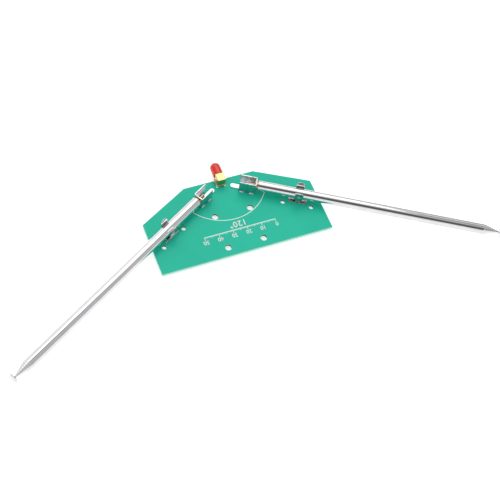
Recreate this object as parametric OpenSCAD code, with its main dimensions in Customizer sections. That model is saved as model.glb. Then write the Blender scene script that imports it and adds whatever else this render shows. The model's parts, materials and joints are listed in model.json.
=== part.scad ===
// V-dipole rabbit ears antenna: two telescopic rods held at 120 degrees on a
// circuit board, with a right-angle coaxial jack under a push-on dust cap.
// The origin is the centre of the four mounting holes on the underside of the board.

/* [Board] */
// Board width, left to right
board_w = 120; // [110:1:140]
// Board depth, front edge to jack edge
board_d = 57.5; // [56:0.5:62]
// Depth of the straight left and right edges
board_side_d = 38.7; // [36:0.1:42]
// Length of the edge that carries the jack
board_back_w = 50; // [46:1:60]
// Board thickness
board_t = 1.6; // [1.2:0.2:2.4]
// Distance from the front edge to the first row of mounting holes
hole_front = 6.2; // [5:0.1:7]
// Mounting hole spacing, left to right
hole_dx = 25; // [20:0.5:27]
// Mounting hole spacing, front to back
hole_dy = 24.5; // [22:0.5:26]
// Mounting hole diameter
hole_d = 4.3; // [3.2:0.1:4.5]
// Diameter of the small holes beside each clip
tie_hole_d = 3; // [2.5:0.1:3.2]

/* [Rods] */
// Angle between each rod and the left-right line
rod_angle = 30; // [28:1:32]
// Distance from the front edge to the point where the rod axes cross
apex_front = 54.5; // [54:0.1:55.5]
// Height of the rod axes above the top face
axis_h = 6; // [5.8:0.1:7]
// Diameter of the outer tube
tube_d = 7; // [6.9:0.05:7.1]
// Drop in diameter from one section to the next
section_step = 0.88; // [0.86:0.01:0.9]
// Wall thickness of every tube
tube_wall = 0.28; // [0.26:0.01:0.28]
// Length of the outer tube
tube_len = 156; // [120:1:180]
// How far each section sticks out of the one before it when closed
stub_len = 1.5; // [1.2:0.1:2]
// Diameter of the tip button
tip_d = 7.2; // [6:0.1:8]

/* [Brackets and clips] */
// Distance from the crossing point to the open end of a bracket
bracket_start = 12.9; // [12:0.1:14]
// Length of a bracket along its rod
bracket_len = 11.3; // [11:0.1:12]
// Outside width of a bracket
bracket_w = 7; // [7:0.1:7.6]
// Height of a bracket above the board
bracket_h = 10.2; // [9.8:0.1:11]
// Thickness of the bracket's sheet
bracket_sheet = 0.7; // [0.6:0.1:0.7]
// Distance from the crossing point to the middle of a clip
clip_mid = 53.4; // [50:0.1:56]
// Width of a clip's arms along the rod
clip_w = 5.6; // [5.2:0.1:6.4]
// Height of a clip's lips above the board
clip_h = 11.9; // [11:0.1:12.2]

/* [Coaxial jack] */
// Side of the jack's square block
jack_block = 6.35; // [6.35:0.01:6.4]
// Diameter over the jack's thread
jack_thread_d = 6.35; // [6.3:0.01:6.35]
// Length of the threaded barrel
jack_barrel_len = 7.8; // [7:0.1:8]
// Diameter of the dust cap
cap_d = 7.1; // [7:0.1:7.6]
// Length of the dust cap
cap_len = 9.8; // [9.6:0.1:11]

/* [Hidden] */
$fn = 48;

left = -1;
right = 1;
eps = 0.01;                                  // overshoot of a cut past a face
seat = 0.01;                                 // gap between pieces that are pressed or soldered together
run = 0.05;                                  // radial running clearance

// Where the board's edges lie, seen from the middle of the mounting holes
front_y = -(hole_front + hole_dy / 2);
side_y = front_y + board_side_d;
back_y = front_y + board_d;
apex_y = front_y + apex_front;
axis_z = board_t + axis_h;
tie_spread = 19.4;                           // between the two small holes beside a clip
tie_offset = 5;                              // from the rod axis to those holes

// Sections
last_section = 7;
tube_start = bracket_start + bracket_len + 1.2;
tube_end = tube_start + tube_len;
plug_len = 7;
section_gap = 0.6;                           // between the base plug and the first sliding section
section_start = tube_start + plug_len + section_gap;
mouth_len = 2;                               // necked-in end of each tube
bush_len = 6;
neck_d = 5.5;
stud_d = 3;
stud_len = 5.8;                              // from the tube side of the bracket's end wall inwards

// Clip
clip_sheet = 0.4;
clip_base_len = 11.4;
clip_base_w = 6.6;
clip_tab_h = 2;
clip_grip_r = tube_d / 2 + seat;

// Soldered legs
leg_below = 1;                               // how far a leg shows under the board
leg_gap = 0.15;                              // round each leg in the board
pad_t = 0.05;
bracket_leg_w = 1.4;
bracket_leg_at = [2.2, 8.9];                 // leg centres, from the open end of the bracket
clip_leg_w = 1.6;
clip_leg_at = [-2.2, 2.2];
jack_leg = 1;
jack_leg_span = 5.08;
jack_stand = 0.8;                            // block's clearance above the board
jack_pin_d = 1.27;

// Jack
jack_front = back_y - 5.5;
jack_back = jack_front + jack_block;
jack_mid_y = jack_front + jack_block / 2;
jack_axis_z = board_t + jack_stand + jack_block / 2;
jack_insulator_d = 4.1;
jack_pin_hole_d = 3;                         // round the pin in the jack's floor
thread_pitch = 0.7;
thread_depth = 0.3;

// Ink on the board's top face
ink_t = 0.03;
ink_w = 0.45;
arc_r = 31.6;
arc_y = front_y + 56.9;
arc_side_gap = 0.2;                          // the arc stops this far from each rod axis
scale_y = front_y + 17.55;
scale_ticks = 50;
scale_step = 1;

function section_od(i) = tube_d - (i - 1) * section_step;
function section_id(i) = section_od(i) - 2 * tube_wall;
function section_inner_end(i) = i == 1 ? tube_start : section_start + (i - 2) * stub_len;
function section_outer_end(i) = tube_end + (i - 1) * stub_len;

// Puts children on a rod: X runs out along the rod, Y towards the jack, Z up from the underside
module on_rod(side) {
    mirror([side == left ? 1 : 0, 0, 0])
        translate([0, apex_y, 0])
            rotate([0, 0, -rod_angle])
                children();
}

// Turns a shape drawn along Z so that it runs out along the rod axis from distance s
module along_axis(s) {
    translate([s, 0, axis_z])
        rotate([0, 90, 0])
            children();
}

// A screw thread as a stack of rings, from z = 0 up
module ring_thread(r, depth, pitch, len) {
    turns = floor(len / pitch);
    rise = len / turns;
    crest = rise / 8;
    profile = concat(
        [[0, 0]],
        [for (t = [0 : turns - 1]) each [
            [r - depth, t * rise],
            [r - depth, t * rise + crest],
            [r, t * rise + rise / 2 - crest / 2],
            [r, t * rise + rise / 2 + crest / 2],
            [r - depth, (t + 1) * rise - crest]
        ]],
        [[r - depth, len], [0, len]]
    );
    rotate_extrude() polygon(profile);
}

// ---------- Board ----------

module board_outline() {
    polygon([
        [-board_w / 2, front_y],
        [board_w / 2, front_y],
        [board_w / 2, side_y],
        [board_back_w / 2, back_y],
        [-board_back_w / 2, back_y],
        [-board_w / 2, side_y]
    ]);
}

module mounting_hole_places() {
    for (x = [-1, 1], y = [-1, 1])
        translate([x * hole_dx / 2, y * hole_dy / 2, 0]) children();
}

module bracket_leg_places() {
    for (side = [left, right], s = bracket_leg_at, y = [-1, 1])
        on_rod(side)
            translate([bracket_start + s, y * (bracket_w - bracket_sheet) / 2, 0])
                children();
}

module clip_leg_places() {
    for (side = [left, right], s = clip_leg_at)
        on_rod(side)
            translate([clip_mid + s, 0, 0]) children();
}

module jack_leg_places() {
    for (x = [-1, 1], y = [-1, 1])
        translate([x * jack_leg_span / 2, jack_mid_y + y * jack_leg_span / 2, 0]) children();
}

// A straight upright bar, centred on X and Y
module bar(x, y, z0, z1) {
    translate([-x / 2, -y / 2, z0]) cube([x, y, z1 - z0]);
}

// The shape of every leg, widened by gap, between two heights
module leg_bars(gap, z0, z1) {
    bracket_leg_places() bar(bracket_leg_w + 2 * gap, bracket_sheet + 2 * gap, z0, z1);
    clip_leg_places() bar(clip_leg_w + 2 * gap, clip_sheet + 2 * gap, z0, z1);
    jack_leg_places() bar(jack_leg + 2 * gap, jack_leg + 2 * gap, z0, z1);
    translate([0, jack_mid_y, z0]) cylinder(d = jack_pin_d + 2 * gap, h = z1 - z0);
}

module circuit_board() {
    color("mediumseagreen") difference() {
        linear_extrude(board_t) board_outline();
        mounting_hole_places() translate([0, 0, -eps]) cylinder(d = hole_d, h = board_t + 2 * eps);
        for (side = [left, right], s = [-1, 1])
            on_rod(side)
                translate([clip_mid + s * tie_spread / 2, -tie_offset, -eps])
                    cylinder(d = tie_hole_d, h = board_t + 2 * eps);
        leg_bars(leg_gap, -eps, board_t + eps);
    }
}

// One round pad with its leg's opening, on the underside
module pad_disc(r) {
    translate([0, 0, -pad_t]) cylinder(r = r, h = pad_t);
}

// Thin tinned copper under every leg, and under the brackets and the clips on top
module solder_pads() {
    color("silver") {
        difference() {
            union() {
                bracket_leg_places() pad_disc(1.5);
                clip_leg_places() pad_disc(1.5);
                jack_leg_places() pad_disc(1.1);
                translate([0, jack_mid_y, 0]) pad_disc(1.1);
            }
            leg_bars(leg_gap, -pad_t - eps, eps);
        }
        for (side = [left, right])
            on_rod(side) {
                difference() {
                    translate([clip_mid - clip_base_len / 2 - 0.6, -clip_base_w / 2 - 0.6, board_t])
                        cube([clip_base_len + 1.2, clip_base_w + 1.2, pad_t]);
                    for (s = clip_leg_at)
                        translate([clip_mid + s, 0, 0])
                            bar(clip_leg_w + 2 * leg_gap, clip_sheet + 2 * leg_gap, 0, board_t + 1);
                }
            }
    }
}

// White ink: the angle arc between the rods and a straight millimetre scale in front of it
module printed_scale() {
    color("white") translate([0, 0, board_t]) {
        difference() {
            translate([0, arc_y, 0]) difference() {
                cylinder(r = arc_r + ink_w / 2, h = ink_t, $fn = 128);
                translate([0, 0, -eps]) cylinder(r = arc_r - ink_w / 2, h = ink_t + 2 * eps, $fn = 128);
            }
            for (side = [left, right])
                on_rod(side)
                    translate([-board_w, -arc_side_gap, -board_t])
                        cube([2 * board_w, board_w, 3 * board_t]);
        }
        translate([-scale_ticks * scale_step / 2 - ink_w / 2, scale_y - ink_w / 2, 0])
            cube([scale_ticks * scale_step + ink_w, ink_w, ink_t]);
    }
}

// Solder cones under the board, each with its leg's opening
module solder_joints() {
    color("gainsboro") difference() {
        union() {
            bracket_leg_places() solder_cone(1.3, 0.8);
            clip_leg_places() solder_cone(1.3, 0.8);
            jack_leg_places() solder_cone(0.95, 0.65);
            translate([0, jack_mid_y, 0]) solder_cone(0.95, 0.75);
        }
        leg_bars(seat, -leg_below - 1, board_t);
    }
}

module solder_cone(r_board, r_end) {
    cone_h = leg_below - 0.2;
    translate([0, 0, -pad_t - cone_h]) cylinder(r1 = r_end, r2 = r_board, h = cone_h);
}

// ---------- Coaxial jack ----------

module jack_body() {
    mouth_d = 4.6;
    mouth_depth = 1.9;
    relief = 0.5;
    color("gold") difference() {
        union() {
            translate([-jack_block / 2, jack_front, board_t + jack_stand])
                cube([jack_block, jack_block, jack_block]);
            jack_leg_places() bar(jack_leg, jack_leg, -leg_below, board_t + jack_stand + eps);
            translate([0, jack_back - eps, jack_axis_z]) rotate([-90, 0, 0]) {
                cylinder(d = jack_thread_d - 2 * thread_depth, h = relief + 2 * eps);
                translate([0, 0, relief + eps])
                    ring_thread(jack_thread_d / 2, thread_depth, thread_pitch, jack_barrel_len - relief);
            }
        }
        translate([0, jack_front + 1, jack_axis_z]) rotate([-90, 0, 0])
            cylinder(d = jack_insulator_d, h = jack_block + jack_barrel_len);
        translate([0, jack_back + jack_barrel_len - mouth_depth, jack_axis_z]) rotate([-90, 0, 0])
            cylinder(d = mouth_d, h = mouth_depth + 1);
        translate([0, jack_mid_y, board_t]) cylinder(d = jack_pin_hole_d, h = jack_axis_z - board_t);
    }
}

// The contact's outline: a socket along the barrel and a pin down through the board
module contact_shape(gap) {
    r = jack_pin_d / 2 + gap;
    tail = 0.9;
    socket_start = jack_mid_y - tail;
    translate([0, socket_start - gap, jack_axis_z]) rotate([-90, 0, 0])
        cylinder(r = r, h = jack_back + jack_barrel_len - 0.4 - socket_start + 2 * gap);
    translate([0, jack_mid_y, -leg_below]) cylinder(r = r, h = jack_axis_z + leg_below);
}

module jack_insulator() {
    color("ivory") difference() {
        union() {
            translate([0, jack_front + 1 + seat, jack_axis_z]) rotate([-90, 0, 0])
                cylinder(d = jack_insulator_d - 2 * seat, h = jack_block + jack_barrel_len - 1.4);
            translate([0, jack_mid_y, board_t + jack_stand])
                cylinder(d = jack_pin_hole_d - 2 * seat, h = jack_block / 2);
        }
        contact_shape(seat);
    }
}

module jack_contact() {
    socket_d = 0.94;
    socket_depth = 3;
    color("goldenrod") difference() {
        contact_shape(0);
        translate([0, jack_back + jack_barrel_len - 0.4 - socket_depth, jack_axis_z]) rotate([-90, 0, 0])
            cylinder(d = socket_d, h = socket_depth + 1);
    }
}

// Hollow push-on cap with a domed end
module dust_cap() {
    dome = 2.6;
    bore_r = jack_thread_d / 2 + run;
    rim_gap = 0.1;
    color("tomato")
        translate([0, jack_back + rim_gap, jack_axis_z]) rotate([-90, 0, 0]) difference() {
            union() {
                cylinder(d = cap_d, h = cap_len - dome);
                translate([0, 0, cap_len - dome]) rotate_extrude() intersection() {
                    square([cap_d / 2, dome]);
                    union() {
                        square([cap_d / 2 - dome, dome]);
                        translate([cap_d / 2 - dome, 0]) circle(r = dome);
                    }
                }
            }
            translate([0, 0, -eps]) cylinder(r = bore_r, h = jack_barrel_len + 0.2);
        }
}

// ---------- Brackets ----------

// One folded sheet: two side walls, an end wall that the stud screws into, and a floor tongue
module bracket(side) {
    tongue_w = 3.2;
    tongue_start = 7;
    foot_gap = 0.5;
    foot_len = 2.4;
    color("lightgray") on_rod(side) difference() {
        union() {
            translate([bracket_start, -bracket_w / 2, board_t])
                cube([bracket_len, bracket_w, bracket_h]);
            translate([tongue_start + tongue_w / 2, -tongue_w / 2, board_t])
                cube([bracket_start + 1 - tongue_start, tongue_w, bracket_sheet]);
            translate([tongue_start + tongue_w / 2, 0, board_t])
                cylinder(d = tongue_w, h = bracket_sheet);
            for (s = bracket_leg_at, y = [-1, 1])
                translate([bracket_start + s, y * (bracket_w - bracket_sheet) / 2, 0])
                    bar(bracket_leg_w, bracket_sheet, -leg_below, board_t + 1);
        }
        translate([bracket_start - 1, -bracket_w / 2 + bracket_sheet, board_t + bracket_sheet])
            cube([bracket_len + 1 - bracket_sheet, bracket_w - 2 * bracket_sheet, bracket_h]);
        for (y = [-1, 1]) {
            gap_w = (bracket_w - 2 * bracket_sheet - tongue_w) / 2;
            translate([bracket_start - 1, y * (tongue_w + gap_w) / 2, 0])
                translate([0, -gap_w / 2, board_t - eps])
                    cube([bracket_len + 1 - bracket_sheet, gap_w, bracket_sheet + 2 * eps]);
            translate([bracket_start + bracket_leg_at[0] + foot_len / 2, y * bracket_w / 2, board_t + foot_gap / 2])
                translate([0, -bracket_sheet - eps, -foot_gap / 2 - eps])
                    cube([bracket_leg_at[1] - bracket_leg_at[0] - foot_len, 2 * bracket_sheet + 2 * eps, foot_gap]);
        }
        along_axis(bracket_start + bracket_len - bracket_sheet - 1)
            cylinder(d = stud_d + 2 * seat, h = bracket_sheet + 2);
    }
}

// Turned brass: a threaded stud, a neck and the plug that closes the outer tube
module base_plug(side) {
    stud_start = bracket_start + bracket_len - stud_len;
    color("peru") on_rod(side) {
        along_axis(stud_start) ring_thread(stud_d / 2, 0.25, 0.5, stud_len + eps);
        along_axis(bracket_start + bracket_len + seat) cylinder(d = neck_d, h = 1.2);
        along_axis(tube_start) cylinder(d = section_id(1) - 2 * seat, h = plug_len);
    }
}

// ---------- Clips ----------

// One arm of a clip from the side: upright root, curve round the tube, and lip
module clip_arm_outline() {
    grip_out = clip_grip_r + clip_sheet;
    hug = 16;                                // degrees of the tube above and below its middle
    lip_reach = 4.9;
    mid_z = 1.1;                             // where the lip starts to lean out, above the curve
    inner = [for (a = [-hug:4:hug]) [clip_grip_r * cos(a), axis_h + clip_grip_r * sin(a)]];
    outer = [for (a = [hug:-4:-hug]) [grip_out * cos(a), axis_h + grip_out * sin(a)]];
    lip_z = axis_h + clip_grip_r * sin(hug) + mid_z;
    polygon(concat(
        [[clip_base_w / 2 - clip_sheet, 0]],
        inner,
        [[clip_grip_r + 0.02, lip_z], [lip_reach - clip_sheet, clip_h]],
        [[lip_reach, clip_h - 0.35], [grip_out + 0.02, lip_z]],
        outer,
        [[clip_base_w / 2, 0]]
    ));
}

module clip(side) {
    z0 = board_t + pad_t + seat;
    corner = 2.4;
    neck_w = 3.4;
    arm_low = z0 + 1.8;
    arm_high = z0 + clip_h - pad_t;
    color("whitesmoke") on_rod(side) translate([clip_mid, 0, 0]) {
        intersection() {
            translate([-clip_w / 2, 0, z0 - seat]) rotate([90, 0, 90]) linear_extrude(clip_w) {
                clip_arm_outline();
                mirror([1, 0]) clip_arm_outline();
            }
            translate([0, clip_base_w, 0]) rotate([90, 0, 0]) linear_extrude(2 * clip_base_w) {
                translate([-clip_w / 2, arm_low + corner])
                    square([clip_w, arm_high - arm_low - 2 * corner]);
                translate([-clip_w / 2 + corner, arm_low])
                    square([clip_w - 2 * corner, arm_high - arm_low]);
                for (x = [-1, 1], z = [arm_low + corner, arm_high - corner])
                    translate([x * (clip_w / 2 - corner), z]) circle(r = corner);
                translate([-neck_w / 2, z0]) square([neck_w, arm_low + corner - z0]);
            }
        }
        translate([-clip_base_len / 2, -clip_base_w / 2, z0])
            cube([clip_base_len, clip_base_w, clip_sheet]);
        for (x = [-1, 1])
            translate([x * (clip_base_len - clip_sheet) / 2, 0, 0])
                bar(clip_sheet, clip_base_w - 1.6, z0, z0 + clip_tab_h);
        for (s = clip_leg_at)
            translate([s, 0, 0]) bar(clip_leg_w, clip_sheet, -leg_below, z0 + eps);
    }
}

// ---------- Telescopic rods ----------

// A drawn tube whose outer end is necked in to guide the next section
module drawn_tube(i) {
    inner = section_inner_end(i);
    len = section_outer_end(i) - inner;
    outer_r = section_od(i) / 2;
    bore_r = section_id(i) / 2;
    mouth_bore_r = section_od(i + 1) / 2 + run;
    mouth_r = mouth_bore_r + 0.22;
    rotate_extrude() polygon([
        [bore_r, 0],
        [outer_r, 0],
        [outer_r, len - mouth_len],
        [mouth_r, len - mouth_len / 3],
        [mouth_r, len],
        [mouth_bore_r, len],
        [mouth_bore_r, len - mouth_len],
        [bore_r, len - mouth_len]
    ]);
}

module outer_tube(side) {
    color("gainsboro") on_rod(side) along_axis(tube_start) drawn_tube(1);
}

module section(side, i) {
    tip_socket = 1.2;
    inner = section_inner_end(i);
    color("silver") on_rod(side) along_axis(inner)
        if (i < last_section) drawn_tube(i);
        else cylinder(d = section_od(i), h = section_outer_end(i) - inner + tip_socket);
}

// Split friction sleeve on the inner end of a section
module bush(side, i) {
    split = 0.5;
    outer_r = section_id(i - 1) / 2 - run;
    color("tan") on_rod(side) along_axis(section_inner_end(i)) difference() {
        cylinder(r = outer_r, h = bush_len);
        translate([0, 0, -eps]) cylinder(r = section_od(i) / 2 + seat, h = bush_len + 2 * eps);
        translate([0, -split / 2, -eps]) cube([outer_r + 1, split, bush_len + 2 * eps]);
    }
}

// Turned button on the tip of the last section
module tip_button(side) {
    collar_r = 1.5;
    collar_len = 0.7;
    head_len = 1.7;
    edge = 0.5;
    socket_depth = 1.2 + seat;
    color("gainsboro") on_rod(side) along_axis(section_outer_end(last_section)) difference() {
        rotate_extrude() polygon([
            [0, 0],
            [collar_r, 0],
            [collar_r, collar_len],
            [tip_d / 2 - edge / 2, collar_len],
            [tip_d / 2, collar_len + edge / 2],
            [tip_d / 2, collar_len + edge],
            [tip_d / 2 - edge, collar_len + 2 * edge],
            [tip_d / 4, head_len + collar_len - 0.25],
            [0, head_len + collar_len]
        ]);
        translate([0, 0, -eps]) cylinder(d = section_od(last_section) + 2 * seat, h = socket_depth + eps);
    }
}

circuit_board();
solder_pads();
printed_scale();
solder_joints();
jack_body();
jack_insulator();
jack_contact();
dust_cap();

bracket(left);  // left_bracket
base_plug(left);  // left_base_plug
clip(left);  // left_clip
outer_tube(left);  // left_outer_tube
section(left, 2);  // left_section_2
section(left, 3);  // left_section_3
section(left, 4);  // left_section_4
section(left, 5);  // left_section_5
section(left, 6);  // left_section_6
section(left, 7);  // left_section_7
bush(left, 2);  // left_bush_2
bush(left, 3);  // left_bush_3
bush(left, 4);  // left_bush_4
bush(left, 5);  // left_bush_5
bush(left, 6);  // left_bush_6
bush(left, 7);  // left_bush_7
tip_button(left);  // left_tip_button

bracket(right);  // right_bracket
base_plug(right);  // right_base_plug
clip(right);  // right_clip
outer_tube(right);  // right_outer_tube
section(right, 2);  // right_section_2
section(right, 3);  // right_section_3
section(right, 4);  // right_section_4
section(right, 5);  // right_section_5
section(right, 6);  // right_section_6
section(right, 7);  // right_section_7
bush(right, 2);  // right_bush_2
bush(right, 3);  // right_bush_3
bush(right, 4);  // right_bush_4
bush(right, 5);  // right_bush_5
bush(right, 6);  // right_bush_6
bush(right, 7);  // right_bush_7
tip_button(right);  // right_tip_button
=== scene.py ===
import json
import math

import bpy
from mathutils import Matrix, Vector


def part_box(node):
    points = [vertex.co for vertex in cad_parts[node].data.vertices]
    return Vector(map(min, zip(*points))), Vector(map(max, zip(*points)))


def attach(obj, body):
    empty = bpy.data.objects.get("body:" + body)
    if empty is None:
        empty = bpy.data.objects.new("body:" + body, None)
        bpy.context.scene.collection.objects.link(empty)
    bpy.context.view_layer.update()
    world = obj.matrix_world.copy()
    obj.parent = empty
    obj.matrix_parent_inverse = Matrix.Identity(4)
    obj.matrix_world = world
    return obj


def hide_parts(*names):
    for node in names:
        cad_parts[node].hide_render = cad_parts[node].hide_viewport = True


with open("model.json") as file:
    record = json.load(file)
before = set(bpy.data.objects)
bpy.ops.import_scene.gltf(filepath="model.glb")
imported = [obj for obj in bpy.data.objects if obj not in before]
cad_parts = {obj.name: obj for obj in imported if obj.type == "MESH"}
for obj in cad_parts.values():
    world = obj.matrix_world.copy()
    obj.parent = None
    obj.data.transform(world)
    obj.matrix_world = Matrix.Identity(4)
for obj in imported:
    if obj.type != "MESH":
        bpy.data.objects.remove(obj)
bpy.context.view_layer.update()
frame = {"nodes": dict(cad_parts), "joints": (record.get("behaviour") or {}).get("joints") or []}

mm = 0.001
weld = 0.0001 * mm                                     # points closer than this are merged
near = 0.001 * mm                                      # how exactly edges and faces are picked
sides = {"right": 1, "left": -1}

# places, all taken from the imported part
rightSlide = next(j for j in frame["joints"] if j["name"] == "right_section_2_slide")
rodLine = Vector(rightSlide["axis"])                   # outwards along the right rod
rodTilt = math.atan2(-rodLine.y, rodLine.x)            # how far each rod swings to the front
boardLow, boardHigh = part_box("circuit_board")
boardTop = boardHigh.z
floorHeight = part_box("jack_body")[0].z                 # the soldered legs stand on the floor


# start, end and radius of a round piece on the right rod, measured from where the rods cross
def rodSpan(node):
    low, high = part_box(node)
    radius = (high.z - low.z) / 2
    length = (high.x - low.x - 2 * radius * abs(rodLine.y)) / rodLine.x
    middle = (low.x + high.x) / 2 / rodLine.x
    return middle - length / 2, middle + length / 2, radius


tubeStart, tubeEnd, tubeRadius = rodSpan("right_outer_tube")
tubeLow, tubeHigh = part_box("right_outer_tube")
rodHeight = (tubeLow.z + tubeHigh.z) / 2
crossing = (tubeLow.y + tubeHigh.y) / 2 + (tubeStart + tubeEnd) / 2 * abs(rodLine.y)
boardDrop = boardTop - rodHeight                       # the board's top face, seen from the rod axis


def objectMode():
    if bpy.context.object and bpy.context.object.mode != "OBJECT":
        bpy.ops.object.mode_set(mode="OBJECT")


def editAll():                                         # edit mode with everything selected
    bpy.ops.object.mode_set(mode="EDIT")
    bpy.ops.mesh.select_all(action="SELECT")


def extrude(x, y, z):                                  # pushes what is selected out by this much
    bpy.ops.mesh.extrude_region_move(TRANSFORM_OT_translate={"value": (x, y, z)})


def placed(spot, turn):                                # moved to a spot and turned about the upright
    return Matrix.Translation(spot) @ Matrix.Rotation(turn, 4, "Z")


def clearAll():
    objectMode()
    bpy.ops.object.select_all(action="DESELECT")


def alone(piece):
    clearAll()
    piece.select_set(True)
    bpy.context.view_layer.objects.active = piece


def named(name):
    piece = bpy.context.object
    piece.name = name
    piece.data.name = name
    return piece


def settle(piece):                                     # its place goes into its mesh
    alone(piece)
    bpy.ops.object.transform_apply(location=True, rotation=True, scale=True)
    return piece


def box(name, low, high):
    clearAll()
    middle = [(a + b) / 2 for a, b in zip(low, high)]
    bpy.ops.mesh.primitive_cube_add(size=1, location=middle)
    piece = named(name)
    piece.scale = [b - a for a, b in zip(low, high)]
    return settle(piece)


# a round bar along X, Y or Z, past the place it is given
def roundBar(name, radius, start, end, axis="X", at=(0, 0, 0)):
    clearAll()
    bpy.ops.mesh.primitive_cylinder_add(vertices=64, radius=radius, depth=end - start)
    piece = named(name)
    quarter = math.pi / 2
    middle = (start + end) / 2
    turn, along = {
        "X": (Matrix.Rotation(quarter, 4, "Y"), Vector((middle, 0, 0))),
        "Y": (Matrix.Rotation(-quarter, 4, "X"), Vector((0, middle, 0))),
        "Z": (Matrix(), Vector((0, 0, middle))),
    }[axis]
    piece.matrix_world = Matrix.Translation(Vector(at) + along) @ turn
    return settle(piece)


# selects the points, edges or faces that pass a test, and leaves the piece in edit mode
def pick(piece, what, test):
    alone(piece)
    bpy.ops.object.mode_set(mode="EDIT")
    bpy.ops.mesh.select_mode(type={"points": "VERT", "edges": "EDGE", "faces": "FACE"}[what])
    bpy.ops.mesh.select_all(action="DESELECT")
    objectMode()
    mesh = piece.data
    if what == "faces":
        for face in mesh.polygons:
            face.select = bool(test(face.center, face.normal))
    elif what == "edges":
        for edge in mesh.edges:
            a, b = [mesh.vertices[i].co for i in edge.vertices]
            edge.select = bool(test(a, b))
    else:
        for point in mesh.vertices:
            point.select = bool(test(point.co))
    bpy.ops.object.mode_set(mode="EDIT")


def cleanShell(piece):                                 # welded, with its faces pointing out
    alone(piece)
    bpy.ops.object.mode_set(mode="EDIT")
    bpy.ops.mesh.select_mode(type="VERT")
    bpy.ops.mesh.select_all(action="SELECT")
    bpy.ops.mesh.remove_doubles(threshold=weld)
    bpy.ops.mesh.normals_make_consistent(inside=False)
    objectMode()
    return piece


def modify(piece, kind, **settings):
    alone(piece)
    modifier = piece.modifiers.new(kind.title(), kind)
    for key, value in settings.items():
        setattr(modifier, key, value)
    bpy.ops.object.modifier_apply(modifier=modifier.name)
    return piece


def cut(piece, cutter, operation="DIFFERENCE"):
    modify(piece, "BOOLEAN", operation=operation, object=cutter, solver="EXACT")
    bpy.data.objects.remove(cutter)
    return piece


def joined(name, pieces):
    alone(pieces[0])
    for piece in pieces[1:]:
        piece.select_set(True)
    bpy.ops.object.join()
    return named(name)


def copied(piece, name):
    twin = piece.copy()
    twin.data = piece.data.copy()
    twin.name = name
    twin.data.name = name
    bpy.context.scene.collection.objects.link(twin)
    return twin


# a line of points (along, out) drawn by extruding one point, in the XZ plane
def drawnLine(name, points):
    clearAll()
    bpy.ops.mesh.primitive_plane_add(size=mm)
    piece = named(name)
    bpy.ops.object.mode_set(mode="EDIT")
    bpy.ops.mesh.select_mode(type="VERT")
    bpy.ops.mesh.select_all(action="SELECT")
    bpy.ops.mesh.merge(type="CENTER")
    bpy.ops.transform.translate(value=(points[0][0], 0, points[0][1]))
    for (x0, z0), (x1, z1) in zip(points, points[1:]):
        bpy.ops.mesh.extrude_vertices_move(TRANSFORM_OT_translate={"value": (x1 - x0, 0, z1 - z0)})
    objectMode()
    return piece


# a piece turned on a lathe along X; a line that never meets the axis is closed on itself
def turned(name, points, steps=72):
    onAxis = points[0][1] == 0
    piece = drawnLine(name, points if onAxis else points + [points[0]])
    editAll()
    bpy.ops.mesh.remove_doubles(threshold=weld)
    bpy.ops.mesh.spin(steps=steps, angle=2 * math.pi, center=(0, 0, 0), axis=(1, 0, 0))
    objectMode()
    return cleanShell(piece)


# a screw thread's ridge along X
def threadRidge(name, start, length, crest, depth, pitch, steps=48):
    root = crest - depth - 0.04 * mm                   # sunk a little into the core
    points = [
        (0, root), (pitch * 0.12, root), (pitch * 0.44, crest),
        (pitch * 0.56, crest), (pitch * 0.88, root), (0, root),
    ]
    piece = drawnLine(name, points)
    cleanShell(piece)
    turns = int(length / pitch) - 1
    modify(piece, "SCREW", axis="X", angle=2 * math.pi, screw_offset=pitch, iterations=turns,
           steps=steps, render_steps=steps, use_merge_vertices=False)
    piece.location.x = start
    settle(piece)
    editAll()
    bpy.ops.mesh.fill_holes(sides=8)
    objectMode()
    return cleanShell(piece)


def polish(piece, edge=0.08 * mm, segments=2, angle=35, smooth=40):
    if edge:
        modify(piece, "BEVEL", width=edge, segments=segments, limit_method="ANGLE",
               angle_limit=math.radians(angle), miter_outer="MITER_ARC")
    alone(piece)
    bpy.ops.object.shade_smooth_by_angle(angle=math.radians(smooth))
    modify(piece, "WEIGHTED_NORMAL", keep_sharp=True, weight=100)
    return piece


def dress(piece, body, slot, *materials):
    piece.data.materials.clear()
    for material in materials:
        piece.data.materials.append(material)
    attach(piece, body)
    return piece


# moves a piece drawn along X, round the rod axis, onto one of the rods
def ontoRod(piece, side):
    place = Matrix.Translation((0, crossing, rodHeight)) @ Matrix.Rotation(-rodTilt, 4, "Z")
    if side == "left":
        place = Matrix.Diagonal((-1, 1, 1, 1)) @ place
    piece.matrix_world = place
    settle(piece)
    return cleanShell(piece)


def finish(name, color, metal=0.0, rough=0.4, **sockets):
    material = bpy.data.materials.new(name)
    material.use_nodes = True
    material.diffuse_color = (*color, 1)
    shader = material.node_tree.nodes["Principled BSDF"]
    shader.inputs["Base Color"].default_value = (*color, 1)
    shader.inputs["Metallic"].default_value = metal
    shader.inputs["Roughness"].default_value = rough
    for key, value in sockets.items():
        shader.inputs[key.replace("_", " ")].default_value = value
    return material


def node(material, kind, settings=None, **inputs):
    made = material.node_tree.nodes.new("ShaderNode" + kind)
    for key, value in (settings or {}).items():
        setattr(made, key, value)
    for key, value in inputs.items():
        socket = made.inputs[key.replace("_", " ")]
        if isinstance(value, bpy.types.NodeSocket):
            material.node_tree.links.new(value, socket)
        else:
            socket.default_value = value
    return made


# object coordinates, turned about Z and stretched
def grainPlace(material, turn=0.0, stretch=(1, 1, 1)):
    where = node(material, "TexCoord").outputs["Object"]
    flat = node(material, "Mapping", Vector=where, Rotation=(0, 0, turn)).outputs["Vector"]
    return node(material, "Mapping", Vector=flat, Scale=stretch).outputs["Vector"]


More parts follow.
